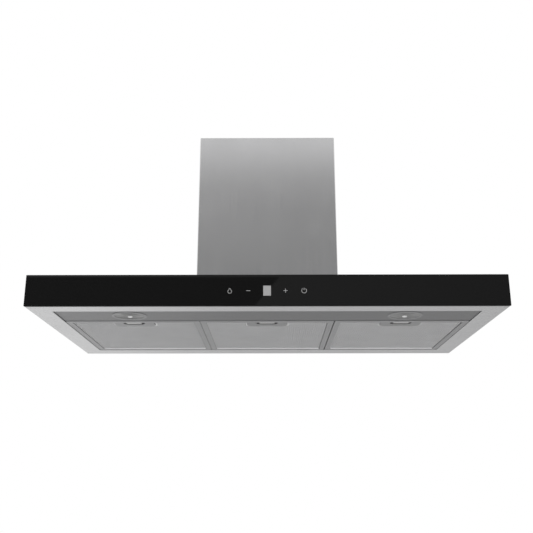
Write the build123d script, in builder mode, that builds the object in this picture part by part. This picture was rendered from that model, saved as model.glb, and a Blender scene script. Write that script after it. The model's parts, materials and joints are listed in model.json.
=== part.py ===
"""Island range hood with a flat canopy, a black glass front, three grease filters and a telescopic chimney.

The origin is the centre of the ceiling plate's top face, where the hood is bolted to the ceiling.
+Z is up, X runs along the canopy's width and -Y is the glass front. All sizes are in millimetres.
"""

from build123d import *
import os

os.makedirs("parts", exist_ok=True)

# ---------------------------------------------------------------- driving dimensions
WIDTH = 900.0
DEPTH = 500.0
CANOPY_H = 60.0
CHIMNEY_H = 336.0
CHIMNEY_W = 285.0
SHEET = 1.0
HEIGHT_TRAVEL = 240.0

GLASS_T = 5.0
TAPE_T = 1.0
RIM_W = 45.0
RIM_SIDE_W = 41.0
HEM_W = 8.0
HEM_R = 1.0
LIGHT_STRIP_D = 91.0
LAMP_X = 270.0
LAMP_R = 34.0
LENS_R = 28.5
LAMP_HOLE_R = 31.5

FILTER_W = 271.6
FILTER_SIDE_GAP = 0.5
CENTRE_PLAY = 0.6
FILTER_T = 10.0
FILTER_BORDER = 12.0
MESH_LAYERS = 3
MESH_T = 0.4

DUCT_R = 74.5
DUCT_WALL = 2.0
COLLAR_H = 45.0
IMPELLER_R = 66.0
IMPELLER_L = 104.0
BLADES = 36
SHAFT_R = 4.0
MOTOR_R = 40.0

CONTROL_W = 190.0
CONTROL_H = 40.0

# ---------------------------------------------------------------- levels and places that follow from them
FLOOR = -(CANOPY_H + CHIMNEY_H)
TOP = -CHIMNEY_H
MIDDLE_Z = (FLOOR + TOP) / 2
FRONT = -DEPTH / 2
BACK = DEPTH / 2
GLASS_BACK = FRONT + GLASS_T
BODY_FRONT = GLASS_BACK + TAPE_T
BODY_X = WIDTH / 2 - 1.0
RIM_X = WIDTH / 2 - RIM_SIDE_W
RIM_Y = DEPTH / 2 - RIM_W
HEM_X = RIM_X + HEM_R
HINGE_Y = RIM_Y + HEM_R
HINGE_Z = FLOOR + HEM_R
STRIP_BACK = LIGHT_STRIP_D - RIM_Y
PANEL_Z = FLOOR + 2 * HEM_R
LAMP_Y = -RIM_Y + 45.0

FILTER_X = RIM_X - FILTER_SIDE_GAP - FILTER_W / 2
FILTERS = {"left": -FILTER_X, "centre": -CENTRE_PLAY, "right": FILTER_X}
FILTER_FRONT = STRIP_BACK + 0.8
FILTER_BACK = RIM_Y - 1.5
FILTER_MID = (FILTER_FRONT + FILTER_BACK) / 2
FILTER_D = FILTER_BACK - FILTER_FRONT
FILTER_Z = FLOOR + 0.9
MESH_Z = (FILTER_Z + 2.0, FILTER_Z + 8.5)
TONGUE_HALF = 12.0
TONGUE_Z = (FILTER_Z + 4.4, FILTER_Z + 6.4)
BAR_HALF = 15.5

LOWER_HALF = CHIMNEY_W / 2
UPPER_HALF = LOWER_HALF - SHEET - 2.5
PLATE_T = 3.0
PLATE_HALF = UPPER_HALF - SHEET - 0.3
TAB_T = 2.0
RAIL_T = 2.0
UPPER_RAIL_HALF = PLATE_HALF - 1.7
LOWER_RAIL_HALF = UPPER_RAIL_HALF - RAIL_T - 0.5
UPPER_RAIL_END = -303.0
LOWER_RAIL_TOP = -15.0
BOLT_AT = 121.5
BOLT_LEVELS = (-25.0, -42.0)
BOLT_R = 3.0
SLOT_W = 7.0
COVER_SCREW_Z = -10.0
COVER_SCREW_R = 2.0

BASE_T = 2.0
BOX_HALF = 120.0
BOX_FLANGE = 8.0
BOX_FLOOR = TOP + BASE_T
BOX_TOP = TOP + 198.0
AXLE_Y = 25.0
AXLE_Z = TOP + 77.0
VOLUTE_HALF = 60.0
VOLUTE_T = 2.0
SCROLL_R = IMPELLER_R + 12.0
SCROLL_STEP = 12.0
SCROLL_FRONT = -(SCROLL_R + 3 * SCROLL_STEP)
MOUTH_TOP = 92.0
FLAP_Z = BOX_TOP + 16.0
FLAP_T = 1.2
PIN_R = 1.5
AXLE = Plane(origin=(0, AXLE_Y, AXLE_Z), x_dir=(0, 1, 0), z_dir=(1, 0, 0))


def save(piece, name):
    """Labels a finished piece and writes it as parts/NAME.step."""
    piece.part.label = name
    export_step(piece.part, f"parts/{name}.step")


def block(x, y, z, mode=Mode.ADD):
    """A box given by its (low, high) intervals along X, Y and Z, for use inside a BuildPart."""
    middle = [(low + high) / 2 for low, high in (x, y, z)]
    size = [high - low for low, high in (x, y, z)]
    with Locations(tuple(middle)):
        return Box(*size, mode=mode)


def rod_x(x, y, z, radius, mode=Mode.ADD):
    """A cylinder along X between two x values, for use inside a BuildPart."""
    with Locations(Location(((x[0] + x[1]) / 2, y, z), (0, 90, 0))):
        return Cylinder(radius, x[1] - x[0], mode=mode)


def side_planes(distance, z):
    """Planes on the four sides of the chimney, facing outwards."""
    planes = []
    for a, b in ((1, 0), (-1, 0), (0, 1), (0, -1)):
        planes.append(Plane(origin=(distance * a, distance * b, z), x_dir=(0, 0, 1), z_dir=(a, b, 0)))
    return planes


def bolt_planes(distance):
    """A plane at each of the eight height bolts, facing outwards, with its x axis up."""
    planes = []
    for a in (-1, 1):
        for b in (-1, 1):
            on_x_side = (a * distance, b * BOLT_AT, BOLT_LEVELS[0])
            on_y_side = (b * BOLT_AT, a * distance, BOLT_LEVELS[1])
            planes.append(Plane(origin=on_x_side, x_dir=(0, 0, 1), z_dir=(a, 0, 0)))
            planes.append(Plane(origin=on_y_side, x_dir=(0, 0, 1), z_dir=(0, a, 0)))
    return planes


def low_screw(shank_r, length, head_r, head_h):
    """A low-head screw at the origin: head above the XY plane, shank below it."""
    with BuildPart() as one:
        Cylinder(head_r, head_h, align=(Align.CENTER, Align.CENTER, Align.MIN))
        chamfer(one.faces().sort_by(Axis.Z)[-1].edges(), head_h / 3)
        Cylinder(shank_r, length, align=(Align.CENTER, Align.CENTER, Align.MAX))
    return one.part


def screw_set(name, planes, shank_r, length, head_r, head_h):
    """A set of the same screw, one on each plane, saved as one piece."""
    one = low_screw(shank_r, length, head_r, head_h)
    with BuildPart() as screws:
        with Locations(*planes):
            add(one)
    save(screws, name)


def flat_planes(places, z, facing=1):
    """Level planes at the (x, y) places, facing up or down."""
    return [Plane(origin=(x, y, z), z_dir=(0, 0, facing)) for x, y in places]


BOX_SCREW_AT = BOX_HALF + BOX_FLANGE / 2
BOX_SCREWS = [(a * BOX_SCREW_AT, b * 60.0) for a in (-1, 1) for b in (-1, 1)]
BOX_SCREWS += [(b * 60.0, a * BOX_SCREW_AT) for a in (-1, 1) for b in (-1, 1)]
FOOT_SCREW_AT = LOWER_HALF - 4.5
FOOT_SCREWS = [(FOOT_SCREW_AT, 0), (-FOOT_SCREW_AT, 0), (0, FOOT_SCREW_AT), (0, -FOOT_SCREW_AT)]
COLLAR_SCREW_AT = 58.0
COLLAR_SCREWS = [(a * COLLAR_SCREW_AT, b * COLLAR_SCREW_AT) for a in (-1, 1) for b in (-1, 1)]


# ---------------------------------------------------------------- ceiling section
CEILING_BOLT_AT = 100.0
CEILING_BOLT_R = 4.5
CEILING_OPENING_R = 90.0
TAB_W = 60.0
TAB_H = 16.0


def ceiling_plate():
    """Square plate with the duct opening, four ceiling bolt holes and four turned-down cover tabs."""
    with BuildPart() as plate:
        with BuildSketch(Plane.XY.offset(-PLATE_T)):
            RectangleRounded(2 * PLATE_HALF, 2 * PLATE_HALF, 3)
            Circle(CEILING_OPENING_R, mode=Mode.SUBTRACT)
            with GridLocations(2 * CEILING_BOLT_AT, 2 * CEILING_BOLT_AT, 2, 2):
                Circle(CEILING_BOLT_R, mode=Mode.SUBTRACT)
        extrude(amount=PLATE_T)
        for side in side_planes(PLATE_HALF - TAB_T / 2, -(PLATE_T + TAB_H) / 2):
            with Locations(side):
                Box(TAB_H - PLATE_T, TAB_W, TAB_T)
        for side in side_planes(PLATE_HALF - TAB_T, COVER_SCREW_Z):
            with Locations(side):
                Cylinder(COVER_SCREW_R, 3 * TAB_T, mode=Mode.SUBTRACT)
    save(plate, "ceiling_plate")


def corner_rails(name, half, leg, low, high, slot_travel):
    """Four angle profiles, one in each corner, with a slot or a hole for each height bolt."""
    with BuildPart() as rails:
        with BuildSketch(Plane.XY.offset(low)):
            with Locations((half, half)):
                Rectangle(leg, leg, align=(Align.MAX, Align.MAX))
            with Locations((half - RAIL_T, half - RAIL_T)):
                Rectangle(leg, leg, align=(Align.MAX, Align.MAX), mode=Mode.SUBTRACT)
        extrude(amount=high - low)
        mirror(about=Plane.YZ)
        mirror(about=Plane.XZ)
        for bolt in bolt_planes(half - 2 * RAIL_T):
            with BuildSketch(bolt):
                with Locations((-slot_travel / 2, 0)):
                    SlotOverall(slot_travel + SLOT_W + 0.01, SLOT_W)
            extrude(amount=3 * RAIL_T, mode=Mode.SUBTRACT)
    save(rails, name)


def upper_chimney_cover():
    """Inner telescopic cover, screwed to the ceiling plate's tabs."""
    with BuildPart() as cover:
        with BuildSketch(Plane.XY.offset(TOP + 4.0)):
            RectangleRounded(2 * UPPER_HALF, 2 * UPPER_HALF, 2.0)
            RectangleRounded(2 * (UPPER_HALF - SHEET), 2 * (UPPER_HALF - SHEET), 1.0, mode=Mode.SUBTRACT)
        extrude(amount=CHIMNEY_H - 4.0)
        for side in side_planes(UPPER_HALF, COVER_SCREW_Z):
            with Locations(side):
                Cylinder(COVER_SCREW_R + 0.1, 4 * SHEET, mode=Mode.SUBTRACT)
    save(cover, "upper_chimney_cover")


# ---------------------------------------------------------------- telescopic frame and lower cover
def lower_frame_base():
    """Square ring that carries the four lower rails on the canopy's top."""
    with BuildPart() as base:
        with BuildSketch(Plane.XY.offset(TOP)):
            Rectangle(2 * LOWER_RAIL_HALF, 2 * LOWER_RAIL_HALF)
            Rectangle(2 * (BOX_HALF - 2), 2 * (BOX_HALF - 2), mode=Mode.SUBTRACT)
            with Locations(*BOX_SCREWS):
                Circle(2.1, mode=Mode.SUBTRACT)
        extrude(amount=BASE_T)
    save(base, "lower_frame_base")


def height_bolts():
    """Eight low-head bolts and nuts that clamp the two halves of the frame."""
    head_at = UPPER_RAIL_HALF + 0.3
    nut_h = 5.0
    nut_at = LOWER_RAIL_HALF - RAIL_T - nut_h
    screw_set("height_bolts", bolt_planes(head_at), BOLT_R, head_at - nut_at + 1.5, 5.5, 1.2)
    with BuildPart() as nuts:
        for bolt in bolt_planes(nut_at):
            with BuildSketch(bolt):
                RegularPolygon(5.7, 6)
                Circle(BOLT_R, mode=Mode.SUBTRACT)
            extrude(amount=nut_h)
    save(nuts, "height_nuts")


def lower_chimney_cover():
    """Outer cover that stands on the canopy, with an inward foot flange."""
    with BuildPart() as cover:
        with BuildSketch(Plane.XY.offset(TOP)):
            RectangleRounded(2 * LOWER_HALF, 2 * LOWER_HALF, 2.0)
            RectangleRounded(2 * (LOWER_HALF - SHEET), 2 * (LOWER_HALF - SHEET), 1.0, mode=Mode.SUBTRACT)
        extrude(amount=CHIMNEY_H - 1.5)
        with BuildSketch(Plane.XY.offset(TOP)):
            RectangleRounded(2 * LOWER_HALF, 2 * LOWER_HALF, 2.0)
            Rectangle(2 * (LOWER_RAIL_HALF + 1), 2 * (LOWER_RAIL_HALF + 1), mode=Mode.SUBTRACT)
            with Locations(*FOOT_SCREWS):
                Circle(1.7, mode=Mode.SUBTRACT)
        extrude(amount=SHEET)
    save(cover, "lower_chimney_cover")


# ---------------------------------------------------------------- canopy
def canopy_shell():
    """Folded shell: top, four sides and a flat rim with a hemmed edge round the underside opening."""
    with BuildPart() as shell:
        block((-BODY_X, BODY_X), (BODY_FRONT, BACK), (FLOOR, TOP))
        fillet(shell.edges().filter_by(Axis.Z), 1.5)
        inside = BODY_X - SHEET
        block((-inside, inside), (BODY_FRONT + SHEET, BACK - SHEET),
              (FLOOR + SHEET, TOP - SHEET), Mode.SUBTRACT)
        with BuildSketch(Plane.XY.offset(FLOOR)):
            Rectangle(2 * (RIM_X + HEM_W), 2 * (RIM_Y + HEM_W))
        extrude(amount=SHEET, mode=Mode.SUBTRACT)
        with BuildSketch(Plane.XY.offset(FLOOR)):
            Rectangle(2 * (RIM_X + HEM_W), 2 * (RIM_Y + HEM_W))
            Rectangle(2 * HEM_X, 2 * HINGE_Y, mode=Mode.SUBTRACT)
        extrude(amount=2 * HEM_R)
        for side in (-1, 1):
            rod_x((-HEM_X, HEM_X), side * HINGE_Y, HINGE_Z, HEM_R)
            with Locations(Location((side * HEM_X, 0, HINGE_Z), (90, 0, 0))):
                Cylinder(HEM_R, 2 * HINGE_Y)
        with BuildSketch(Plane.XY.offset(TOP - SHEET)):
            Rectangle(2 * (BOX_HALF - 4), 2 * (BOX_HALF - 4))
            with Locations(*BOX_SCREWS):
                Circle(2.1)
            with Locations(*FOOT_SCREWS):
                Circle(1.7)
        extrude(amount=SHEET, mode=Mode.SUBTRACT)
        window = (CONTROL_W / 2 + 1, CONTROL_H / 2 + 1)
        block((-window[0], window[0]), (BODY_FRONT - 1, BODY_FRONT + 2 * SHEET),
              (MIDDLE_Z - window[1], MIDDLE_Z + window[1]), Mode.SUBTRACT)
    save(shell, "canopy_shell")


def glass_fascia():
    """Toughened glass band over the whole front, with ground edges, and the tape that holds it."""
    with BuildPart() as glass:
        block((-WIDTH / 2, WIDTH / 2), (FRONT, GLASS_BACK), (FLOOR, TOP))
        fillet(glass.edges().filter_by(Axis.Y), 1.0)
        chamfer(glass.faces().sort_by(Axis.Y)[0].edges(), 0.8)
    save(glass, "glass_fascia")
    with BuildPart() as tape:
        for low in (FLOOR + 1.5, TOP - 7.5):
            block((4 - BODY_X, BODY_X - 4), (GLASS_BACK, BODY_FRONT), (low, low + 6.0))
    save(tape, "glass_bonding_tape")


def light_panel():
    """Sheet behind the front rim that carries the lamps. Its back edge turns up and has the latch windows."""
    with BuildPart() as panel:
        block((-RIM_X - 6, RIM_X + 6), (-RIM_Y - 6, STRIP_BACK), (PANEL_Z, PANEL_Z + SHEET))
        block((2 - RIM_X, RIM_X - 2), (STRIP_BACK - SHEET, STRIP_BACK), (PANEL_Z, PANEL_Z + 13.0))
        with Locations((-LAMP_X, LAMP_Y, PANEL_Z), (LAMP_X, LAMP_Y, PANEL_Z)):
            Cylinder(LAMP_HOLE_R, 4 * SHEET, mode=Mode.SUBTRACT)
        for x in FILTERS.values():
            window = (x - TONGUE_HALF - 2, x + TONGUE_HALF + 2)
            block(window, (STRIP_BACK - 2, STRIP_BACK + 1),
                  (TONGUE_Z[0] - 0.8, TONGUE_Z[1] + 1.6), Mode.SUBTRACT)
    save(panel, "light_panel")


def lamp(side, x):
    """One LED spotlight: a bezel with its sleeve, a stepped lens resting in it and a finned body on top."""
    sleeve_r = LAMP_HOLE_R - 0.5
    with BuildPart() as bezel:
        with BuildSketch(Plane.XY.offset(PANEL_Z - 1.0)):
            with Locations((x, LAMP_Y)):
                Circle(LAMP_R)
                Circle(LENS_R + 0.3, mode=Mode.SUBTRACT)
        extrude(amount=1.0)
        chamfer(bezel.faces().sort_by(Axis.Z)[0].edges(), 0.5)
        with BuildSketch(Plane.XY.offset(PANEL_Z - 0.5)):
            with Locations((x, LAMP_Y)):
                Circle(sleeve_r)
                Circle(LENS_R + 1.5, mode=Mode.SUBTRACT)
        extrude(amount=5.5)
    save(bezel, f"lamp_bezel_{side}")
    with BuildPart() as lens:
        with Locations((x, LAMP_Y, PANEL_Z - 0.7)):
            Cylinder(LENS_R, 0.7, align=(Align.CENTER, Align.CENTER, Align.MIN))
        with Locations((x, LAMP_Y, PANEL_Z)):
            Cylinder(LENS_R + 1.2, 1.5, align=(Align.CENTER, Align.CENTER, Align.MIN))
        chamfer(lens.faces().sort_by(Axis.Z)[0].edges(), 0.5)
    save(lens, f"lamp_lens_{side}")
    with BuildPart() as body:
        with Locations((x, LAMP_Y, PANEL_Z + 3.0)):
            Cylinder(4.8, 2.0, align=(Align.CENTER, Align.CENTER, Align.MIN))
        with Locations((x, LAMP_Y, PANEL_Z + 5.0)):
            Cylinder(sleeve_r, 3.0, align=(Align.CENTER, Align.CENTER, Align.MIN))
        with BuildSketch(Plane.XY.offset(PANEL_Z + 8.0)):
            with Locations((x, LAMP_Y)):
                Circle(12.0)
                with PolarLocations(20.0, 12):
                    Rectangle(20.0, 2.0)
        extrude(amount=7.0)
    save(body, f"lamp_body_{side}")


KEY_X = (-69.0, -34.5, 34.5, 69.0)


def touch_control():
    """Touch module behind the glass: an open tray, its circuit board and the display."""
    with BuildPart() as tray:
        block((-CONTROL_W / 2, CONTROL_W / 2), (GLASS_BACK, GLASS_BACK + 16),
              (MIDDLE_Z - CONTROL_H / 2, MIDDLE_Z + CONTROL_H / 2))
        fillet(tray.edges().filter_by(Axis.Y), 2.0)
        offset(amount=-1.6, openings=tray.faces().sort_by(Axis.Y)[0])
        for x in (-80, 80):
            block((x - 3, x + 3), (GLASS_BACK + 8.6, GLASS_BACK + 14.6), (MIDDLE_Z - 10, MIDDLE_Z + 10))
    save(tray, "touch_control_tray")
    with BuildPart() as board:
        block((-90, 90), (GLASS_BACK + 7.0, GLASS_BACK + 8.6), (MIDDLE_Z - 16, MIDDLE_Z + 16))
        for x in KEY_X:
            with Locations(Location((x, GLASS_BACK + 3.5, MIDDLE_Z), (90, 0, 0))):
                Cylinder(5.5, 7.0)
    save(board, "touch_control_board")
    with BuildPart() as display:
        block((-11, 11), (GLASS_BACK, GLASS_BACK + 7.0), (MIDDLE_Z - 13, MIDDLE_Z + 13))
    save(display, "display_module")


BOX_X = (60.0, 220.0)
BOX_Y = (-224.0, -130.0)


def control_box():
    """Power electronics box under the canopy's top sheet, with a snap-on lid below."""
    roof = TOP - SHEET
    with BuildPart() as box:
        block(BOX_X, BOX_Y, (roof - 33, roof))
        fillet(box.edges().filter_by(Axis.Z), 4.0)
        offset(amount=-2.0, openings=box.faces().sort_by(Axis.Z)[0])
    save(box, "control_box")
    with BuildPart() as lid:
        block(BOX_X, BOX_Y, (roof - 35, roof - 33))
        fillet(lid.edges().filter_by(Axis.Z), 4.0)
        for inset, mode in ((2.3, Mode.ADD), (4.0, Mode.SUBTRACT)):
            with BuildSketch(Plane.XY.offset(roof - 33)):
                with Locations((sum(BOX_X) / 2, sum(BOX_Y) / 2)):
                    RectangleRounded(BOX_X[1] - BOX_X[0] - 2 * inset, BOX_Y[1] - BOX_Y[0] - 2 * inset, 1.0)
            extrude(amount=3.0, mode=mode)
    save(lid, "control_box_lid")


# ---------------------------------------------------------------- fan
def fan_box():
    """Galvanised box over the canopy's opening that holds the fan and carries the duct collar."""
    with BuildPart() as box:
        block((-BOX_HALF, BOX_HALF), (-BOX_HALF, BOX_HALF), (BOX_FLOOR, BOX_TOP))
        inner = BOX_HALF - SHEET
        block((-inner, inner), (-inner, inner), (BOX_FLOOR, BOX_TOP - SHEET), Mode.SUBTRACT)
        with BuildSketch(Plane.XY.offset(BOX_FLOOR)):
            Rectangle(2 * (BOX_HALF + BOX_FLANGE), 2 * (BOX_HALF + BOX_FLANGE))
            Rectangle(2 * inner, 2 * inner, mode=Mode.SUBTRACT)
            with Locations(*BOX_SCREWS):
                Circle(2.1, mode=Mode.SUBTRACT)
        extrude(amount=SHEET)
        with BuildSketch(Plane.XY.offset(BOX_TOP - SHEET)):
            Circle(DUCT_R - DUCT_WALL)
            with Locations(*COLLAR_SCREWS):
                Circle(1.7)
        extrude(amount=SHEET, mode=Mode.SUBTRACT)
    save(box, "fan_box")


def scroll_shape(grow):
    """Face of the scroll across the axle: three quarter arcs of growing radius and a straight mouth."""
    second = SCROLL_R + SCROLL_STEP + grow
    third = SCROLL_R + 2 * SCROLL_STEP + grow
    front = SCROLL_FRONT - grow
    with BuildSketch(AXLE) as shape:
        with BuildLine():
            CenterArc((0, 0), SCROLL_R + grow, 0, 90)
            CenterArc((-SCROLL_STEP, 0), second, 270, 90)
            CenterArc((-SCROLL_STEP, SCROLL_STEP), third, 180, 90)
            Polyline((front, SCROLL_STEP), (front, MOUTH_TOP), (0, MOUTH_TOP), (0, SCROLL_R + grow))
        make_face()
    return shape.sketch


def volute(name, side):
    """One half of the scroll housing, split across the axle. side is -1 or 1 along X."""
    outside = scroll_shape(VOLUTE_T)
    inside = scroll_shape(0)
    with BuildPart() as half:
        extrude(outside, amount=side * VOLUTE_HALF)
        extrude(inside, amount=side * (VOLUTE_HALF - VOLUTE_T), mode=Mode.SUBTRACT)
        tongue = (AXLE_Z + SCROLL_R, AXLE_Z + MOUTH_TOP)
        block(sorted((0, side * VOLUTE_HALF)), (AXLE_Y, AXLE_Y + VOLUTE_T), tongue)
        rod_x(sorted((side * 50, side * 70)), AXLE_Y, AXLE_Z, IMPELLER_R - 14.0, Mode.SUBTRACT)
    save(half, name)


def outlet_adapter():
    """Transition from the scroll's square mouth to the round duct collar."""
    low = AXLE_Z + MOUTH_TOP
    high = BOX_TOP - SHEET
    mouth_x = 2 * (VOLUTE_HALF - VOLUTE_T)
    mouth_y = -SCROLL_FRONT
    middle = AXLE_Y + SCROLL_FRONT / 2
    with BuildPart() as adapter:
        for wall, mode in ((VOLUTE_T, Mode.ADD), (0, Mode.SUBTRACT)):
            with BuildSketch(Plane.XY.offset(low)):
                with Locations((0, middle)):
                    RectangleRounded(mouth_x + 2 * wall, mouth_y + 2 * wall, 6.0 + wall)
            with BuildSketch(Plane.XY.offset(high)):
                Circle(DUCT_R - DUCT_WALL + wall)
            loft(mode=mode)
    save(adapter, "outlet_adapter")


def impeller():
    """Double-inlet drum with forward-curved blades between two rings and a centre plate, and its shaft."""
    inner = IMPELLER_R - 12.0
    end = IMPELLER_L / 2
    ring = 3.0
    with BuildPart() as drum:
        with BuildSketch(AXLE.offset(-end)):
            with PolarLocations(IMPELLER_R - 6.0, BLADES):
                Rectangle(12.4, 0.9, rotation=28)
        extrude(amount=IMPELLER_L)
        for low, high, hole in ((-end, ring - end, inner), (end - ring, end, inner), (-1.0, 1.0, SHAFT_R)):
            with BuildSketch(AXLE.offset(low)):
                Circle(IMPELLER_R)
                Circle(hole, mode=Mode.SUBTRACT)
            extrude(amount=high - low)
        with BuildSketch(AXLE.offset(-10.0)):
            Circle(11.0)
            Circle(SHAFT_R, mode=Mode.SUBTRACT)
        extrude(amount=16.0)
    save(drum, "impeller")
    with BuildPart() as shaft:
        rod_x((-14.0, 52.0), AXLE_Y, AXLE_Z, SHAFT_R)
        chamfer(shaft.edges().filter_by(GeomType.CIRCLE), 0.5)
    save(shaft, "motor_shaft")


def motor():
    """Motor inside the drum, its three-armed bracket over the right inlet, and its capacitor."""
    with BuildPart() as can:
        rod_x((10.0, VOLUTE_HALF), AXLE_Y, AXLE_Z, MOTOR_R)
        fillet(can.edges().filter_by(GeomType.CIRCLE), 3.0)
        rod_x((0.0, 55.0), AXLE_Y, AXLE_Z, SHAFT_R + 0.06, Mode.SUBTRACT)
    save(can, "motor")
    with BuildPart() as bracket:
        with BuildSketch(AXLE.offset(VOLUTE_HALF)):
            Circle(IMPELLER_R)
            Circle(IMPELLER_R - 11.0, mode=Mode.SUBTRACT)
            with PolarLocations(42.0, 3, start_angle=90):
                Rectangle(32.0, 12.0)
            Circle(MOTOR_R - 8.0)
            Circle(6.0, mode=Mode.SUBTRACT)
        extrude(amount=2.5)
    save(bracket, "motor_bracket")
    with BuildPart() as capacitor:
        with Locations((95.0, -95.0, BOX_TOP - SHEET)):
            Cylinder(15.0, 60.0, align=(Align.CENTER, Align.CENTER, Align.MAX))
        fillet(capacitor.faces().sort_by(Axis.Z)[0].edges(), 2.0)
    save(capacitor, "run_capacitor")


KNUCKLES = {"front": ((-60.0, -36.0), (6.0, 30.0)), "rear": ((-30.0, -6.0), (36.0, 60.0))}
KNUCKLE_R = 3.0


def outlet_collar():
    """Plastic collar that the duct slides over, with a stop ledge under the flaps and the flaps' pin."""
    inside = DUCT_R - DUCT_WALL
    pin_end = inside + 1.0
    with BuildPart() as collar:
        for outer, low, high in ((DUCT_R, BOX_TOP, BOX_TOP + COLLAR_H), (90.0, BOX_TOP, BOX_TOP + 2.0)):
            with BuildSketch(Plane.XY.offset(low)):
                Circle(outer)
                Circle(inside, mode=Mode.SUBTRACT)
            extrude(amount=high - low)
        with BuildSketch(Plane.XY.offset(FLAP_Z - 3.0)):
            Circle(DUCT_R - 0.5)
            Circle(inside - 3.0, mode=Mode.SUBTRACT)
        extrude(amount=3.0 - FLAP_T / 2 - 0.3)
        with Locations(*[(x, y, BOX_TOP) for x, y in COLLAR_SCREWS]):
            Cylinder(1.7, 6.0, mode=Mode.SUBTRACT)
        rod_x((-pin_end, pin_end), 0, FLAP_Z, PIN_R, Mode.SUBTRACT)
    save(collar, "outlet_collar")
    with BuildPart() as pin:
        rod_x((-pin_end, pin_end), 0, FLAP_Z, PIN_R)
    save(pin, "flap_pin")


def flap(name, side):
    """One half-moon non-return flap with two knuckles on the pin. side is -1 or 1 along Y."""
    edge = KNUCKLE_R + 0.8
    with BuildPart() as half:
        with BuildSketch(Plane.XY.offset(FLAP_Z - FLAP_T / 2)):
            Circle(DUCT_R - DUCT_WALL - 1.2)
            with Locations((0, -side * 50.0)):
                Rectangle(2 * DUCT_R, 100 + 2 * edge, mode=Mode.SUBTRACT)
        extrude(amount=FLAP_T)
        for across in KNUCKLES[name]:
            rod_x(across, 0, FLAP_Z, KNUCKLE_R)
            web = sorted((side * 2.0, side * (edge + 1.0)))
            block(across, web, (FLAP_Z - FLAP_T / 2, FLAP_Z + FLAP_T / 2))
        rod_x((-DUCT_R, DUCT_R), 0, FLAP_Z, PIN_R + 0.08, Mode.SUBTRACT)
    save(half, f"flap_{name}")


TERMINAL_AT = 95.0
CABLE_R = 3.75


def terminal_box():
    """Mains terminal box on the fan box, with an upright cable gland."""
    at = TERMINAL_AT
    lid = BOX_TOP + 28.0
    with BuildPart() as box:
        block((at - 19, at + 19), (at - 19, at + 19), (BOX_TOP, lid))
        fillet(box.edges().filter_by(Axis.Z), 3.0)
        offset(amount=-1.8, openings=box.faces().sort_by(Axis.Z)[0])
        with Locations((at, at, lid)):
            Cylinder(6.0, 10.0, mode=Mode.SUBTRACT)
    save(box, "terminal_box")
    with BuildPart() as gland:
        with Locations((at, at, lid - 6.0)):
            Cylinder(6.0, 6.0, align=(Align.CENTER, Align.CENTER, Align.MIN))
        with BuildSketch(Plane.XY.offset(lid)):
            with Locations((at, at)):
                RegularPolygon(9.5, 6)
        extrude(amount=6.0)
        with Locations((at, at, lid + 6.0)):
            Cylinder(8.0, 8.0, align=(Align.CENTER, Align.CENTER, Align.MIN))
        fillet(gland.faces().sort_by(Axis.Z)[-1].edges(), 1.5)
        with Locations((at, at, lid)):
            Cylinder(CABLE_R, 40.0, mode=Mode.SUBTRACT)
    save(gland, "cable_gland")


# ---------------------------------------------------------------- grease filters
HANDLE_HALF = 41.5
HANDLE_FRONT = FILTER_FRONT + FILTER_BORDER + 0.2
HANDLE_BACK = HANDLE_FRONT + 36.0
HANDLE_Z = (FILTER_Z + 0.3, FILTER_Z + 8.8)
HANDLE_CORNER = 12.0
REAR_EDGE = (Align.CENTER, Align.MAX)
POCKET_HALF = 21.5
POCKET_CORNER = 9.0
POCKET_EDGE = 0.6
POCKET_BACK = HANDLE_FRONT + 18.5
CHANNEL_AT = 26.0
CHANNEL_HALF = 8.0
CHANNEL_BACK = HANDLE_FRONT + 27.0
CHANNEL_Z = (FILTER_Z + 4.2, FILTER_Z + 7.6)
LATCH_BACK = HANDLE_FRONT + 10.0
HOOK_AT = 85.0
HOOK_HALF = 15.0
HOOK_R = HEM_R + 0.08


def filter_frame(side, x):
    """Channel frame with two hooks that hang on the rear hem and a slot for the latch's tongue."""
    low, high = FILTER_Z, FILTER_Z + FILTER_T
    with BuildPart() as frame:
        with Locations((x, FILTER_MID, (low + high) / 2)):
            Box(FILTER_W, FILTER_D, FILTER_T)
        fillet(frame.edges().filter_by(Axis.Z), 2.0)
        chamfer(frame.faces().sort_by(Axis.Z)[0].edges(), 0.7)
        with Locations((x, FILTER_MID, (low + high) / 2)):
            Box(FILTER_W - 2, FILTER_D - 2, FILTER_T - 2, mode=Mode.SUBTRACT)
        for inset, level in ((FILTER_BORDER, low), (8.0, high)):
            with Locations((x, FILTER_MID, level)):
                Box(FILTER_W - 2 * inset, FILTER_D - 2 * inset, 3.0, mode=Mode.SUBTRACT)
        lip = FILTER_BORDER - 1.0
        opening = (FILTER_W - 2 * FILTER_BORDER, FILTER_D - 2 * FILTER_BORDER)
        turned_up = low + 1.0
        with BuildSketch(Plane.XY.offset(turned_up)):
            with Locations((x, FILTER_MID)):
                Rectangle(FILTER_W - 2 * lip, FILTER_D - 2 * lip)
                Rectangle(*opening, mode=Mode.SUBTRACT)
        extrude(amount=MESH_Z[0] - 0.1 - turned_up)
        slot = (x - TONGUE_HALF - 1, x + TONGUE_HALF + 1)
        block(slot, (FILTER_FRONT - 1, FILTER_FRONT + 2),
              (TONGUE_Z[0] - 0.4, TONGUE_Z[1] + 0.4), Mode.SUBTRACT)
        for hook in (x - HOOK_AT, x + HOOK_AT):
            across = (hook - HOOK_HALF, hook + HOOK_HALF)
            tab = HINGE_Z + HEM_R + 0.35
            block(across, (FILTER_BACK - 1, HINGE_Y + 9), (tab, tab + 1.2))
            block(across, (FILTER_BACK - 1, HINGE_Y), (HINGE_Z - 0.4, tab))
            rod_x(across, HINGE_Y, HINGE_Z, HOOK_R, Mode.SUBTRACT)
    save(frame, f"filter_frame_{side}")


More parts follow.
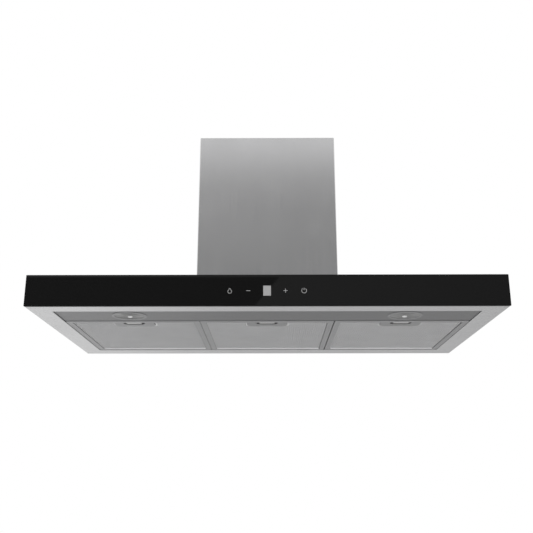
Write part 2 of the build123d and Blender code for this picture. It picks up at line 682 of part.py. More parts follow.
def filter_mesh(side, x):
    """The pack of mesh layers in the frame, with room for the handle."""
    with BuildPart() as mesh:
        for layer in range(MESH_LAYERS):
            level = MESH_Z[0] + layer * (MESH_Z[1] - MESH_Z[0]) / (MESH_LAYERS - 1)
            with BuildSketch(Plane.XY.offset(level)):
                with Locations((x, FILTER_MID)):
                    Rectangle(FILTER_W - 2.6, FILTER_D - 2.6)
                with Locations((x, FILTER_FRONT)):
                    RectangleRounded(2 * HANDLE_HALF + 1, 2 * (HANDLE_BACK - FILTER_FRONT) + 1,
                                     HANDLE_CORNER + 0.5, mode=Mode.SUBTRACT)
            extrude(amount=MESH_T)
    save(mesh, f"filter_mesh_{side}")


def filter_handle(side, x):
    """Moulded handle plate with a finger pocket and two spring channels."""
    with BuildPart() as handle:
        with BuildSketch(Plane.XY.offset(HANDLE_Z[0])):
            with Locations((x, HANDLE_FRONT)):
                RectangleRounded(2 * HANDLE_HALF, 2 * (HANDLE_BACK - HANDLE_FRONT), HANDLE_CORNER)
            with Locations((x, HANDLE_FRONT)):
                Rectangle(2 * HANDLE_HALF, HANDLE_BACK - HANDLE_FRONT, align=REAR_EDGE, mode=Mode.SUBTRACT)
        extrude(amount=HANDLE_Z[1] - HANDLE_Z[0])
        chamfer(handle.faces().sort_by(Axis.Z)[0].edges(), 0.8)
        with BuildSketch(Plane.XY.offset(FLOOR)):
            with Locations((x, HANDLE_FRONT)):
                RectangleRounded(2 * POCKET_HALF, 2 * (POCKET_BACK - HANDLE_FRONT), POCKET_CORNER)
        extrude(amount=CHANNEL_Z[1] - FLOOR, mode=Mode.SUBTRACT)
        bottom = handle.faces().sort_by(Axis.Z)[0].edges()
        pocket_rim = bottom.filter_by_position(Axis.Y, HANDLE_FRONT + 2, POCKET_BACK + 0.1)
        reach = POCKET_HALF + 0.1
        chamfer(pocket_rim.filter_by_position(Axis.X, x - reach, x + reach), POCKET_EDGE)
        for channel in (x - CHANNEL_AT, x + CHANNEL_AT):
            across = (channel - CHANNEL_HALF, channel + CHANNEL_HALF)
            block(across, (HANDLE_FRONT - 1, CHANNEL_BACK), CHANNEL_Z, Mode.SUBTRACT)
    save(handle, f"filter_handle_{side}")


def filter_latch(side, x):
    """Sliding latch: a tongue at the front, a finger bar below and an ear in each spring channel."""
    with BuildPart() as latch:
        block((x - TONGUE_HALF, x + TONGUE_HALF), (STRIP_BACK - SHEET - 3.0, LATCH_BACK), TONGUE_Z)
        chamfer(latch.faces().sort_by(Axis.Y)[0].edges().sort_by(Axis.Z)[-1], 1.2)
        block((x - 33, x + 33), (LATCH_BACK - 8, LATCH_BACK), (FILTER_Z + 4.5, FILTER_Z + 6.5))
        block((x - BAR_HALF, x + BAR_HALF), (LATCH_BACK - 9.4, LATCH_BACK - 0.4),
              (FILTER_Z + 0.3, FILTER_Z + 5.0))
        fillet(latch.faces().sort_by(Axis.Z)[0].edges(), 0.8)
    save(latch, f"latch_{side}")


def latch_springs(side, x):
    """Two folded leaf springs that push the latch forward."""
    folds = 6
    low, high = LATCH_BACK + 0.3, CHANNEL_BACK - 0.3
    with BuildPart() as springs:
        with BuildSketch(Plane.XY.offset(FILTER_Z + 4.7)):
            for middle in (x - CHANNEL_AT, x + CHANNEL_AT):
                steps = range(folds + 1)
                points = [(middle + 3.2 * (-1) ** i, low + (high - low) * i / folds) for i in steps]
                with BuildLine():
                    Polyline(*points)
                trace(line_width=0.4)
        extrude(amount=2.4)
    save(springs, f"latch_springs_{side}")


# ---------------------------------------------------------------- build everything
ceiling_plate()
corner_rails("upper_rails", UPPER_RAIL_HALF, 25.0, UPPER_RAIL_END, -PLATE_T, HEIGHT_TRAVEL)
upper_chimney_cover()
screw_set("upper_cover_screws", side_planes(UPPER_HALF, COVER_SCREW_Z), COVER_SCREW_R, 6.0, 4.0, 1.5)

lower_frame_base()
corner_rails("lower_rails", LOWER_RAIL_HALF, 24.0, TOP + BASE_T, LOWER_RAIL_TOP, 0)
height_bolts()
lower_chimney_cover()
screw_set("lower_cover_screws", flat_planes(FOOT_SCREWS, TOP - SHEET, -1), 1.7, 4.0, 3.2, 1.6)

canopy_shell()
glass_fascia()
light_panel()
for side, sign in (("left", -1), ("right", 1)):
    lamp(side, sign * LAMP_X)
touch_control()
control_box()

fan_box()
screw_set("fan_box_screws", flat_planes(BOX_SCREWS, BOX_FLOOR + SHEET), 2.1, 8.0, 3.8, 2.2)
volute("volute_left", -1)
volute("volute_right", 1)
outlet_adapter()
impeller()
motor()
outlet_collar()
screw_set("collar_screws", flat_planes(COLLAR_SCREWS, BOX_TOP + 2.0), 1.7, 6.0, 3.2, 2.0)
flap("front", -1)
flap("rear", 1)
terminal_box()

for side, x in FILTERS.items():
    filter_frame(side, x)
    filter_mesh(side, x)
    filter_handle(side, x)
    filter_latch(side, x)
    latch_springs(side, x)
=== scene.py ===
"""Looks for the island range hood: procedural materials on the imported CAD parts, finer pieces where the CAD
is plain, studio light and the camera. Everything is in metres in the CAD's own frame."""

import json
import math

import bmesh
import bpy
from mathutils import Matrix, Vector


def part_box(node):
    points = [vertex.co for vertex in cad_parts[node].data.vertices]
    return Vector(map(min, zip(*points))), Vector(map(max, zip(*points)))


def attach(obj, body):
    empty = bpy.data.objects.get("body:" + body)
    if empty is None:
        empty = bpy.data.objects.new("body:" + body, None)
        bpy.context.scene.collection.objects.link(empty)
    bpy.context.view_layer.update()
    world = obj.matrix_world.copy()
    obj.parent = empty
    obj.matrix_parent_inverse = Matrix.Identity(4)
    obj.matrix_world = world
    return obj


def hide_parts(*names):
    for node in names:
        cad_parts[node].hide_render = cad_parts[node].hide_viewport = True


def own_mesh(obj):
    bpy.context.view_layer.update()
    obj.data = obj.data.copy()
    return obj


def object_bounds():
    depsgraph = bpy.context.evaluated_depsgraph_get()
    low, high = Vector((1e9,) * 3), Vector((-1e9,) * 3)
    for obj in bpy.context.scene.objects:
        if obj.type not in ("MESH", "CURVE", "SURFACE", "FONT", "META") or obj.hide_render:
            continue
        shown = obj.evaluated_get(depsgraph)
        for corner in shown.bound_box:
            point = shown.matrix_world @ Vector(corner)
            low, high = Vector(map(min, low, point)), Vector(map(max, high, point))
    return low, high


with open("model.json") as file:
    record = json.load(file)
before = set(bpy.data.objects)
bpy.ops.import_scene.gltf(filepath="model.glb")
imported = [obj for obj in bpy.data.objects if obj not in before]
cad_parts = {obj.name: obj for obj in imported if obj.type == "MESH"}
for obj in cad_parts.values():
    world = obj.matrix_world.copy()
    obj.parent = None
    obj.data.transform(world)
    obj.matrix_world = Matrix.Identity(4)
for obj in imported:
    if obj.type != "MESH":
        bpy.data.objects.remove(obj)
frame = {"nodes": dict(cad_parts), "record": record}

CAD_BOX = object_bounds()
NODES = frame["nodes"]
MM = 0.001
FILTERS = ("left", "centre", "right")
LAMPS = ("left", "right")

# Brushed sheet: noise cells per metre across the lines and along them.
LINE_ACROSS, LINE_ALONG = 1600.0, 9.0
BAND_ACROSS, BAND_ALONG = 60.0, 2.0

# Touch symbols and display, printed on the glass.
PRINT_PROUD = 0.05 * MM
STROKE = 0.68 * MM
SYMBOL_STEP = 34.5 * MM
SYMBOLS_BELOW = 1.2 * MM
MINUS_HALF = 3.6 * MM
PLUS_HALF = 3.9 * MM
BULB_R, BULB_BELOW = 3.5 * MM, 1.4 * MM
NECK_HALF, NECK_TOP = 0.5 * MM, 4.3 * MM
POWER_R, POWER_BAR = 4.6 * MM, (1.0 * MM, 5.4 * MM)
DISPLAY_HALF = (7.15 * MM, 9.6 * MM)
DISPLAY_CORNER = 0.5 * MM
DISPLAY_SHIFT = 0.35 * MM
DISPLAY_BEVEL = (0.35 * MM, 0.03 * MM)

# Lamp optics. The rim is the flat edge outside the rings, and the LED sits behind the lens's middle, to the
# rear where the highlight falls; its glow is a painted highlight of the unlit lamp.
OPTIC_RIM = 1.2 * MM
OPTIC_HUB_R = 0.5 * MM
RING_COUNT = 6
RING_FIRST, RING_PITCH, RING_WIDTH = 8.2 * MM, 3.2 * MM, 1.6 * MM
LOBES, LOBE_DEPTH = 8, 0.55 * MM
LED_HIGHLIGHT_BACK = 7.0 * MM
LED_DOME_MM = [(0.0003, -1.2), (2.0, -1.1), (3.6, -0.75), (4.7, -0.1), (5.0, 0.6), (5.0, 1.0), (0.0003, 1.0)]

# Filters: frame border over the sheet, expanded metal's cell and strand, and the rolled lip's section.
BORDER = 12.0 * MM
UNDER_BORDER = 1.2 * MM
SHEET_INSET = 1.3 * MM
CELL_X, CELL_Y = 4.4 * MM, 7.6 * MM
STRAND, STRAND_T = 0.95 * MM, 0.30 * MM
LIP_MM = [(0.0, 0.0), (-0.5, 0.15), (-1.2, 0.7), (-1.9, 1.5), (-2.3, 2.3), (-2.3, 2.6), (0.0, 2.6)]

# Studio: the floor's depth under the part and its reach, the cards' planes and the heights where they meet.
# The slanted card's left edge is at SLANT_X at the height SLANT_X_AT, and leans SLANT_LEAN right per metre up.
FLOOR_BELOW, FLOOR_REACH = 1.6, 6.0
CARDS_Y, SWEEP_Y, SLANT_Y = -4.2, 3.5, -4.0
BAND_Z = (0.49, 0.79)
FLAG_TOP, KEY_TOP = 1.85, 3.6
SLANT_FOOT, SLANT_HEAD = 0.47, 0.77
SLANT_LEAN = 0.826
SLANT_X, SLANT_X_AT = -0.113, 0.513
SLANT_RIGHT = 3.2

# Camera.
SENSOR, LENS = 36.0, 49.885
CAMERA_X, CAMERA_AHEAD, CAMERA_BELOW = 0.00817, 1.32378, 0.32299
CAMERA_YAW, CAMERA_PITCH = 0.00672, 0.29241


# ---------------------------------------------------------------- node graphs
class Graph:
    """A material or world node tree, with short calls to add nodes and links."""

    def __init__(self, owner):
        owner.use_nodes = True
        self.tree = owner.node_tree
        self.tree.nodes.clear()

    def fill(self, socket, value):
        """Gives a socket its value, or links it when the value is another socket."""
        if isinstance(value, bpy.types.NodeSocket):
            self.tree.links.new(value, socket)
        else:
            socket.default_value = value

    def add(self, kind, inputs=None, **settings):
        """Adds a node. inputs maps a socket's name or number to a value or to another socket."""
        node = self.tree.nodes.new("ShaderNode" + kind)
        for key, value in settings.items():
            setattr(node, key, value)
        for key, value in (inputs or {}).items():
            self.fill(node.inputs[key], value)
        return node

    def place(self, scale=(1, 1, 1), turn=(0, 0, 0)):
        """Coordinates in metres in the frame, scaled per axis."""
        coords = self.add("TexCoord").outputs["Object"]
        return self.add("Mapping", {"Vector": coords, "Scale": scale, "Rotation": turn}).outputs[0]

    def noise(self, place, scale=1.0, detail=3.0, rough=0.55):
        inputs = {"Vector": place, "Scale": scale, "Detail": detail, "Roughness": rough}
        return self.add("TexNoise", inputs).outputs[0]

    def ramp(self, value, low, high, to_low=0.0, to_high=1.0):
        """value from low..high onto to_low..to_high, held at the ends."""
        inputs = {"Value": value, "From Min": low, "From Max": high, "To Min": to_low, "To Max": to_high}
        return self.add("MapRange", inputs).outputs[0]

    def mix(self, share, first, second):
        node = self.add("Mix", data_type="RGBA")
        for name, value in (("Factor", share), ("A", first), ("B", second)):
            self.fill([s for s in node.inputs if s.name == name and s.enabled][0], value)
        return [s for s in node.outputs if s.enabled][0]

    def math(self, operation, first, second=0.0):
        return self.add("Math", {0: first, 1: second}, operation=operation).outputs[0]

    def bump(self, height, strength, distance):
        return self.add("Bump", {"Height": height, "Strength": strength, "Distance": distance}).outputs[0]

    def finish(self, inputs):
        """The Principled shader and the output."""
        self.out(self.add("BsdfPrincipled", inputs))

    def out(self, shader, kind="OutputMaterial"):
        output = self.add(kind)
        self.tree.links.new(shader.outputs[0], output.inputs[0])


def shade(colour, factor):
    return tuple(c * factor for c in colour[:3]) + (1.0,)


def grey(value):
    return (value, value, value, 1.0)


def material(name):
    made = bpy.data.materials.new(name)
    return made, Graph(made)


# ---------------------------------------------------------------- materials
def brushed_metal(name, colour, along, rough, edge, grain):
    """Brushed sheet: fine lines along one axis, uneven polish and faint handling marks."""
    made, g = material(name)
    scale = [LINE_ALONG if axis == along else LINE_ACROSS for axis in "XYZ"]
    lines = g.noise(g.place(scale), detail=4.0, rough=0.7)
    broad = [BAND_ALONG if axis == along else BAND_ACROSS for axis in "XYZ"]
    bands = g.noise(g.place(broad), detail=2.0)
    marks = g.noise(g.place(), scale=7.0, detail=5.0, rough=0.6)
    tone = g.mix(lines, shade(colour, 0.93), shade(colour, 1.06))
    tone = g.mix(g.ramp(bands, 0.35, 0.65, 0.0, 0.35), tone, shade(colour, 0.95))
    polish = g.ramp(lines, 0.3, 0.7, rough - 0.04, rough + 0.05)
    polish = g.math("ADD", polish, g.ramp(marks, 0.45, 0.75, 0.0, 0.05))
    normal = g.bump(lines, grain, 0.05 * MM)
    g.finish({"Base Color": tone, "Metallic": 1.0, "Roughness": polish, "Specular Tint": grey(edge),
              "Normal": normal})
    return made


def zinc_sheet(name):
    """Galvanised sheet with its spangle of crystal patches."""
    made, g = material(name)
    cells = g.add("TexVoronoi", {"Vector": g.place(), "Scale": 120.0})
    patch = g.add("SeparateColor", {0: cells.outputs["Color"]}).outputs[0]
    fine = g.noise(g.place(), scale=900.0)
    tone = g.mix(patch, grey(0.46), grey(0.62))
    rough = g.ramp(patch, 0.0, 1.0, 0.32, 0.50)
    normal = g.bump(fine, 0.1, 0.05 * MM)
    g.finish({"Base Color": tone, "Metallic": 0.9, "Roughness": rough, "Normal": normal})
    return made


def zinc_plate(name, colour):
    """Plated fastener or shaft: bright metal with fine scratches."""
    made, g = material(name)
    fine = g.noise(g.place((400, 400, 2500)), detail=4.0)
    tone = g.mix(fine, shade(colour, 0.85), shade(colour, 1.1))
    rough = g.ramp(fine, 0.3, 0.7, 0.22, 0.38)
    normal = g.bump(fine, 0.1, 0.03 * MM)
    g.finish({"Base Color": tone, "Metallic": 1.0, "Roughness": rough, "Normal": normal})
    return made


def satin_aluminium(name, colour, rough, edge=1.0, metal=1.0):
    """Extruded or rolled aluminium with a satin finish and tiny nicks."""
    made, g = material(name)
    fine = g.noise(g.place(), scale=1500.0, detail=4.0)
    cloud = g.noise(g.place(), scale=20.0, detail=3.0)
    tone = g.mix(cloud, shade(colour, 0.94), shade(colour, 1.06))
    polish = g.ramp(fine, 0.3, 0.7, rough - 0.05, rough + 0.06)
    g.finish({"Base Color": tone, "Metallic": metal, "Roughness": polish, "Specular Tint": grey(edge),
              "Normal": g.bump(fine, 0.12, 0.05 * MM)})
    return made


def moulded_plastic(name, colour, rough):
    """Moulded plastic with a fine spark-eroded texture."""
    made, g = material(name)
    grain = g.noise(g.place(), scale=1400.0, detail=2.0)
    cloud = g.noise(g.place(), scale=12.0, detail=3.0)
    tone = g.mix(cloud, shade(colour, 0.88), shade(colour, 1.12))
    polish = g.ramp(cloud, 0.3, 0.7, rough - 0.06, rough + 0.08)
    g.finish({"Base Color": tone, "Roughness": polish, "Normal": g.bump(grain, 0.35, 0.06 * MM)})
    return made


def foam(name):
    """Closed-cell foam tape."""
    made, g = material(name)
    cells = g.add("TexVoronoi", {"Vector": g.place(), "Scale": 1500.0}).outputs["Distance"]
    tone = g.mix(cells, grey(0.015), grey(0.04))
    g.finish({"Base Color": tone, "Roughness": 0.9, "Normal": g.bump(cells, 0.6, 0.2 * MM)})
    return made


def circuit_board(name):
    """Green solder mask with faint copper tracks under it."""
    made, g = material(name)
    upright = g.place((1, 0.001, 1), (math.radians(90), 0, 0))
    tracks = g.add("TexBrick", {"Vector": upright, "Scale": 90.0, "Mortar Size": 0.06}).outputs["Fac"]
    tone = g.mix(tracks, (0.012, 0.10, 0.035, 1), (0.03, 0.20, 0.07, 1))
    g.finish({"Base Color": tone, "Roughness": 0.35, "Normal": g.bump(tracks, 0.3, 0.04 * MM)})
    return made


def drawn_can(name, colour, metallic):
    """Turned or drawn can with rings round it and light scuffs."""
    made, g = material(name)
    rings = g.noise(g.place((20, 20, 1800)), detail=3.0)
    scuffs = g.noise(g.place(), scale=60.0, detail=6.0, rough=0.7)
    tone = g.mix(g.ramp(scuffs, 0.55, 0.75), shade(colour, 1.0), shade(colour, 1.35))
    polish = g.ramp(rings, 0.3, 0.7, 0.3, 0.45)
    normal = g.bump(rings, 0.15, 0.05 * MM)
    g.finish({"Base Color": tone, "Metallic": metallic, "Roughness": polish, "Normal": normal})
    return made


def black_glass(name):
    """Back-painted glass: a clear gloss face with faint wipe marks and fine-ground matt edges."""
    made, g = material(name)
    normal = g.add("NewGeometry").outputs["Normal"]
    facing = g.math("ABSOLUTE", g.add("SeparateXYZ", {0: normal}).outputs[1])
    face = g.ramp(facing, 0.90, 0.97)
    wipes = g.noise(g.place((3, 3, 40)), detail=5.0, rough=0.65)
    dust = g.noise(g.place(), scale=500.0, detail=2.0)
    wipe_rough = g.ramp(wipes, 0.45, 0.8, 0.015, 0.05)
    rough = g.add("Mix", {0: face, 2: 0.55, 3: wipe_rough}).outputs[0]
    tone = g.mix(g.ramp(dust, 0.6, 0.8, 0.0, 0.25), grey(0.0014), grey(0.0022))
    tint = g.mix(face, grey(0.1), grey(1.0))
    g.finish({"Base Color": tone, "Roughness": rough, "IOR": 1.52, "Specular Tint": tint})
    return made


def lit_print(name, value, glow):
    """Pale printed symbol or display film, faintly lit from behind. On the LED dome the same glow is a painted
    highlight of the unlit lamp.
    """
    made, g = material(name)
    fine = g.noise(g.place(), scale=2500.0, detail=2.0)
    tone = g.mix(fine, grey(value * 0.9), grey(value * 1.08))
    g.finish({"Base Color": tone, "Roughness": 0.5, "Emission Color": tone, "Emission Strength": glow})
    return made


def lens_glass(name):
    """Frosted lamp optic with a fine pebbled surface."""
    made, g = material(name)
    pebble = g.add("TexVoronoi", {"Vector": g.place(), "Scale": 700.0}).outputs["Distance"]
    cloud = g.noise(g.place(), scale=90.0)
    tone = g.mix(cloud, grey(0.13), grey(0.19))
    g.finish({"Base Color": tone, "Roughness": 0.3, "IOR": 1.49, "Transmission Weight": 0.15,
              "Normal": g.bump(pebble, 0.35, 0.15 * MM)})
    return made


MATERIALS = {
    "stainless": brushed_metal("stainless", (0.53, 0.53, 0.535), "X", 0.28, 0.9, 0.08),
    "chimney_steel": brushed_metal("chimney_steel", (0.56, 0.56, 0.565), "Z", 0.185, 1.0, 0.03),
    "light_strip": brushed_metal("light_strip", (0.265, 0.265, 0.27), "X", 0.30, 0.6, 0.08),
    "galvanised": zinc_sheet("galvanised"),
    "fastener_steel": zinc_plate("fastener_steel", (0.55, 0.55, 0.54)),
    "black_glass": black_glass("black_glass"),
    "foam_tape": foam("foam_tape"),
    "lamp_trim": satin_aluminium("lamp_trim", (0.31, 0.31, 0.315), 0.34, 0.75),
    "lamp_lens": lens_glass("lamp_lens"),
    "heat_sink": satin_aluminium("heat_sink", (0.42, 0.42, 0.43), 0.45),
    "dark_plastic": moulded_plastic("dark_plastic", (0.045, 0.045, 0.05), 0.5),
    "grey_plastic": moulded_plastic("grey_plastic", (0.38, 0.39, 0.40), 0.45),
    "circuit_board": circuit_board("circuit_board"),
    "display": lit_print("display_film", 0.33, 0.3),
    "filter_aluminium": satin_aluminium("filter_aluminium", (0.35, 0.35, 0.355), 0.40, 0.8),
    "filter_mesh": satin_aluminium("filter_mesh", (0.69, 0.69, 0.695), 0.45, 0.9, 0.85),
    "spring_steel": zinc_plate("spring_steel", (0.42, 0.42, 0.43)),
    "capacitor_can": drawn_can("capacitor_can", (0.62, 0.62, 0.63), 1.0),
    "motor_can": drawn_can("motor_can", (0.13, 0.13, 0.14), 0.6),
    "symbol_print": lit_print("symbol_print", 0.36, 0.6),
    # The LED dome's glow is a painted highlight: the lamp is off.
    "led_painted_highlight": lit_print("led_painted_highlight", 0.60, 0.25),
    # A lighter copy of the filter aluminium for the rolled lip: a painted highlight along the filters' rear
    # edge.
    "lip_painted_highlight": satin_aluminium("lip_painted_highlight", (0.72, 0.72, 0.73), 0.3),
}


def paint_frame():
    """Every CAD node gets its slot's material."""
    slots = {s["node"]: s["material_slot"] for s in frame["record"]["subparts"]}
    for name, node in NODES.items():
        node.data.materials.clear()
        node.data.materials.append(MATERIALS[slots[name]])


# ---------------------------------------------------------------- mesh helpers
def new_piece(name, mesh, body, slot, look=None):
    """Makes an object from a bmesh or mesh, gives it its material and body, and returns it."""
    data = mesh
    if isinstance(mesh, bmesh.types.BMesh):
        data = bpy.data.meshes.new(name)
        bmesh.ops.recalc_face_normals(mesh, faces=mesh.faces)
        mesh.to_mesh(data)
        mesh.free()
    piece = bpy.data.objects.new(name, data)
    bpy.context.scene.collection.objects.link(piece)
    data.materials.clear()
    data.materials.append(MATERIALS[look or slot])
    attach(piece, body)
    return piece


def ribbon(mesh, points, width, thick, place, closed=False):
    """A flat bar of the given width along points in the XZ plane, standing thick proud towards -Y."""
    count = len(points)
    rows = []
    for i, (x, z) in enumerate(points):
        before = points[i - 1] if closed or i else points[i]
        after = points[(i + 1) % count] if closed or i < count - 1 else points[i]
        run = Vector((after[0] - before[0], after[1] - before[1])).normalized()
        side = Vector((-run.y, run.x)) * width / 2
        row = []
        for sign, y in ((1, 0), (1, -thick), (-1, -thick), (-1, 0)):
            row.append(mesh.verts.new(Vector(place) + Vector((x + sign * side.x, y, z + sign * side.y))))
        rows.append(row)
    for i in range(count if closed else count - 1):
        a, b = rows[i], rows[(i + 1) % count]
        for j in range(4):
            mesh.faces.new((a[j], b[j], b[(j + 1) % 4], a[(j + 1) % 4]))
    if not closed:
        mesh.faces.new(rows[0])
        mesh.faces.new(list(reversed(rows[-1])))


def arc(radius, start, end, steps, centre=(0.0, 0.0)):
    """Points on an arc, angles in degrees."""
    points = []
    for i in range(steps + 1):
        a = math.radians(start + (end - start) * i / steps)
        points.append((centre[0] + radius * math.cos(a), centre[1] + radius * math.sin(a)))
    return points


# ---------------------------------------------------------------- touch symbols and display
def touch_symbols():
    """The four printed symbols and the display window, a hair proud of the glass face."""
    low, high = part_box("glass_fascia")
    middle = (low.z + high.z) / 2 - SYMBOLS_BELOW
    bulb = arc(BULB_R, 125, 415, 28, (0, -BULB_BELOW)) + [(NECK_HALF, NECK_TOP), (-NECK_HALF, NECK_TOP)]
    ring = arc(POWER_R, 122, 418, 36)
    symbols = (
        ("light_symbol", -2, [(bulb, True)]),
        ("minus_symbol", -1, [([(-MINUS_HALF, 0), (MINUS_HALF, 0)], False)]),
        ("plus_symbol", 1, [([(-PLUS_HALF, 0), (PLUS_HALF, 0)], False),
                            ([(0, -PLUS_HALF), (0, PLUS_HALF)], False)]),
        ("power_symbol", 2, [(ring, False), ([(0, POWER_BAR[0]), (0, POWER_BAR[1])], False)]),
    )
    for name, column, strokes in symbols:
        mesh = bmesh.new()
        for points, closed in strokes:
            ribbon(mesh, points, STROKE, PRINT_PROUD, (column * SYMBOL_STEP, low.y, middle), closed)
        new_piece(name, mesh, "hood", "display", "symbol_print")
    display_window(low.y, middle)


def display_window(front, middle):
    """A rounded film with a slightly raised, bevelled face."""
    across, up = DISPLAY_HALF
    outline = []
    for cx, cz, start in ((1, 1, 0), (-1, 1, 90), (-1, -1, 180), (1, -1, 270)):
        centre = (cx * (across - DISPLAY_CORNER), cz * (up - DISPLAY_CORNER))
        outline += arc(DISPLAY_CORNER, start, start + 90, 5, centre)
    inset, rise = DISPLAY_BEVEL
    mesh = bmesh.new()
    rows = []
    for inward, out in ((0.0, 0.0), (0.0, PRINT_PROUD), (inset, PRINT_PROUD + rise)):
        row = []
        for x, z in outline:
            place = (x * (1 - inward / across), z * (1 - inward / up))
            row.append(mesh.verts.new((DISPLAY_SHIFT + place[0], front - out, middle + place[1])))
        rows.append(row)
    for first, second in zip(rows, rows[1:]):
        for i in range(len(outline)):
            k = (i + 1) % len(outline)
            mesh.faces.new((first[i], first[k], second[k], second[i]))
    mesh.faces.new(rows[2])
    mesh.faces.new(rows[0])
    new_piece("display_window", mesh, "hood", "display")


# ---------------------------------------------------------------- lamps
def revolve(mesh, profile, centre, segments, lobes=0, wave=0.0, span=(0.0, 0.0)):
    """Revolves a closed (radius, z) profile about a vertical axis. Lobes ripple the points within span."""
    rings = []
    for i in range(segments):
        a = 2 * math.pi * i / segments
        ring = []
        for r, z in profile:
            if span[0] < r < span[1]:
                z += wave * (1 - math.cos(lobes * a)) / 2
            ring.append(mesh.verts.new((centre[0] + r * math.cos(a), centre[1] + r * math.sin(a), z)))
        rings.append(ring)
    count = len(profile)
    for i in range(segments):
        first, second = rings[i], rings[(i + 1) % segments]
        for j in range(count):
            k = (j + 1) % count
            mesh.faces.new((first[j], second[j], second[k], first[k]))


def lamp_optics():
    """Each lamp's optic: a dished centre in stepped rings with radial lobes, and the LED's bright dome, its
    glow a painted highlight of the unlit lamp, set to the rear of the optic's middle.
    """
    for side in LAMPS:
        low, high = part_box(f"lamp_lens_{side}")
        x, y = (low.x + high.x) / 2, (low.y + high.y) / 2
        bottom, top = low.z, high.z
        outer = (high.x - low.x) / 2
        face = outer - OPTIC_RIM
        dish = bottom + 0.9 * MM
        profile = [(OPTIC_HUB_R, dish), (5.2 * MM, dish), (6.0 * MM, bottom + 0.4 * MM)]
        for ring in range(RING_COUNT):
            r = RING_FIRST + RING_PITCH * ring
            profile += [(r, bottom + 0.35 * MM), (r + RING_WIDTH, bottom)]
        profile += [(face - 1.2 * MM, bottom + 0.1 * MM), (face, bottom + 0.6 * MM)]
        profile += [(face, bottom + 0.75 * MM), (outer, bottom + 0.75 * MM), (outer, top), (OPTIC_HUB_R, top)]
        mesh = bmesh.new()
        revolve(mesh, profile, (x, y), 128, LOBES, LOBE_DEPTH, (6.5 * MM, face - 2.5 * MM))
        optic = new_piece(f"lamp_optic_{side}", mesh, "hood", "lamp_lens")
        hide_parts(f"lamp_lens_{side}")
        # The LED's dome glows as a painted highlight, set to the rear of the optic's middle where the
        # highlight falls.
        mesh = bmesh.new()
        dome = [(r * MM, bottom + z * MM) for r, z in LED_DOME_MM]
        revolve(mesh, dome, (x, y + LED_HIGHLIGHT_BACK), 48)
        new_piece(f"lamp_led_highlight_{side}", mesh, "hood", "display", "led_painted_highlight")


# ---------------------------------------------------------------- filter mesh
def strand_between(mesh, start, end, width, thick):
    """One twisted strand of expanded metal: a thin bar leaning across its run."""
    run = (end - start).normalized()
    side = Vector((-run.y, run.x, 0)) * width / 2
    up = Vector((0, 0, thick))
    lean = Vector((0, 0, thick * 0.9))
    first = [mesh.verts.new(start + p) for p in (side, lean - side, lean - side + up, side + up)]
    second = [mesh.verts.new(end + p) for p in (side, lean - side, lean - side + up, side + up)]
    for j in range(4):
        k = (j + 1) % 4
        mesh.faces.new((first[j], second[j], second[k], first[k]))


def filter_weave(side):
    """The outer layer of expanded metal under a filter's plain sheets, cut round the handle."""
    low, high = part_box(f"filter_mesh_{side}")
    cup_low, cup_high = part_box(f"filter_handle_{side}")
    reach = BORDER - UNDER_BORDER
    x0, x1 = low.x + reach, high.x - reach
    y0, y1 = low.y + reach, high.y - reach
    z = low.z - 2.1 * STRAND_T
    columns, rows = round((x1 - x0) / CELL_X), round((y1 - y0) / CELL_Y)
    step = Vector(((x1 - x0) / columns, (y1 - y0) / rows))
    mesh = bmesh.new()
    for row in range(rows):
        for column in range(columns):
            x, y = x0 + column * step.x, y0 + row * step.y
            if cup_low.x - step.x < x < cup_high.x and y < cup_high.y:
                continue
            middle = Vector((x + step.x / 2, y + step.y / 2, z))
            for cx in (x, x + step.x):
                for cy in (y, y + step.y):
                    strand_between(mesh, Vector((cx, cy, z)), middle, STRAND, STRAND_T)
    new_piece(f"filter_weave_{side}", mesh, f"filter_{side}", "filter_mesh")


def filter_lip(side):
    """A rolled lip along the rear edge of a filter frame's opening, in a lighter copy of the frame's aluminium
    that paints a highlight along the edge.
    """
    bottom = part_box(f"filter_frame_{side}")[0].z
    low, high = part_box(f"filter_mesh_{side}")
    edge_y = high.y + SHEET_INSET - BORDER
    mesh = bmesh.new()
    left, right = [[mesh.verts.new((x, edge_y + y * MM, bottom + z * MM)) for y, z in LIP_MM]
                   for x in (low.x + BORDER, high.x - BORDER)]
    for i in range(len(LIP_MM)):
        k = (i + 1) % len(LIP_MM)
        mesh.faces.new((left[i], right[i], right[k], left[k]))
    mesh.faces.new(left)
    mesh.faces.new(list(reversed(right)))
    new_piece(f"filter_lip_{side}", mesh, f"filter_{side}", "filter_aluminium", "lip_painted_highlight")


def latch_springs(side):
    """A latch's pair of springs, copied into a mesh of their own on the filter's body, with the CAD node
    hidden.
    """
    node = NODES[f"latch_springs_{side}"]
    data = node.data.copy()
    data.transform(node.matrix_world)
    springs = new_piece(f"latch_zigzags_{side}", data, f"filter_{side}", "spring_steel")
    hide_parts(node.name)
    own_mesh(springs)


# ---------------------------------------------------------------- studio
def emitter(name, left, right, span):
    """A glowing card, either even or running from left to right between the two x positions of span."""
    made, g = material(name)
    strength = left
    if right is not None:
        across = g.add("SeparateXYZ", {0: g.place()}).outputs[0]
        strength = g.ramp(across, span[0], span[1], left, right)
    g.out(g.add("Emission", {"Color": grey(1.0), "Strength": strength}))
    return made


def sheet(name, corners, look):
    """A flat stage piece between its corners."""
    data = bpy.data.meshes.new(name)
    data.from_pydata([tuple(c) for c in corners], [], [tuple(range(len(corners)))])
    data.materials.append(look)
    made = bpy.data.objects.new(name, data)
    bpy.context.scene.collection.objects.link(made)
    return made


def card(name, corners, left, right=None, span=(-1.0, 1.0)):
    """A flat studio card, seen only in reflections and by its light."""
    sheet(name, corners, emitter(name, left, right, span)).visible_camera = False


def upright(name, x, y, z, left, right=None, span=(-1.0, 1.0)):
    """A card standing across the studio at one y."""
    card(name, [(x[0], y, z[0]), (x[1], y, z[0]), (x[1], y, z[1]), (x[0], y, z[1])], left, right, span)


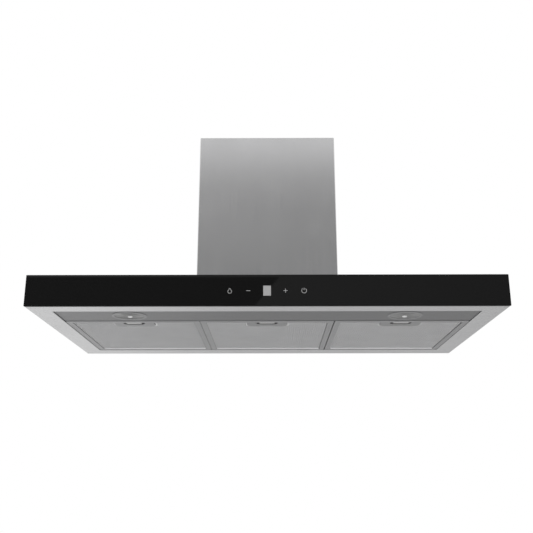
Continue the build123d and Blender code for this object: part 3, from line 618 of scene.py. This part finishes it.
def studio():
    """White surroundings, a pale floor and a sweep behind the part. Behind the camera stand the cards that
    the glass and the steel reflect: a low card, a dark band, a flag, a key light and a slanted card."""
    scene = bpy.context.scene
    scene.view_settings.view_transform = "Standard"
    scene.world = bpy.data.worlds.new("studio")
    g = Graph(scene.world)
    g.out(g.add("Background", {"Color": grey(1.0), "Strength": 1.0}), "OutputWorld")

    floor_z = CAD_BOX[0].z - FLOOR_BELOW
    pale, g = material("pale_floor")
    speck = g.noise(g.place(), scale=3.0, detail=3.0)
    g.finish({"Base Color": g.mix(speck, grey(0.78), grey(0.84)), "Roughness": 0.7})
    reach = FLOOR_REACH
    sheet("floor", [(-reach, -reach, floor_z), (reach, -reach, floor_z), (reach, reach, floor_z),
                    (-reach, reach, floor_z)], pale)

    upright("low_card", (-5, 5), CARDS_Y, (floor_z, BAND_Z[0]), 0.65)
    upright("dark_band", (-5, 5), CARDS_Y, BAND_Z, 0.19, 0.155, (-2.5, 0.0))
    upright("high_flag", (-5, 5), CARDS_Y, (BAND_Z[1], FLAG_TOP), 0.43, 0.365, (-0.7, 0.7))
    upright("key_box", (-4, 4), CARDS_Y, (FLAG_TOP, KEY_TOP), 1.12)
    upright("sweep", (-5, 5), SWEEP_Y, (floor_z, 0.6), 1.08, 0.71, (-1.5, -0.2))
    foot_x, head_x = [SLANT_X + (z - SLANT_X_AT) * SLANT_LEAN for z in (SLANT_FOOT, SLANT_HEAD)]
    corners = [(foot_x, SLANT_Y, SLANT_FOOT), (SLANT_RIGHT, SLANT_Y, SLANT_FOOT),
               (SLANT_RIGHT, SLANT_Y, SLANT_HEAD), (head_x, SLANT_Y, SLANT_HEAD)]
    card("slant_card", corners, 0.33, 0.24, (-0.1, 1.8))


def add_camera():
    """Low in front of the hood, looking up at its underside."""
    data = bpy.data.cameras.new("camera")
    data.sensor_width = SENSOR
    data.lens = LENS
    camera = bpy.data.objects.new("camera", data)
    bpy.context.scene.collection.objects.link(camera)
    camera.location = (CAMERA_X, CAD_BOX[0].y - CAMERA_AHEAD, CAD_BOX[0].z - CAMERA_BELOW)
    level = math.cos(CAMERA_PITCH)
    look = Vector((-math.sin(CAMERA_YAW) * level, math.cos(CAMERA_YAW) * level, math.sin(CAMERA_PITCH)))
    camera.rotation_mode = "QUATERNION"
    camera.rotation_quaternion = look.to_track_quat("-Z", "Y")
    bpy.context.scene.camera = camera


paint_frame()
touch_symbols()
lamp_optics()
for side in FILTERS:
    filter_weave(side)
    filter_lip(side)
for side in FILTERS:
    latch_springs(side)
studio()
add_camera()
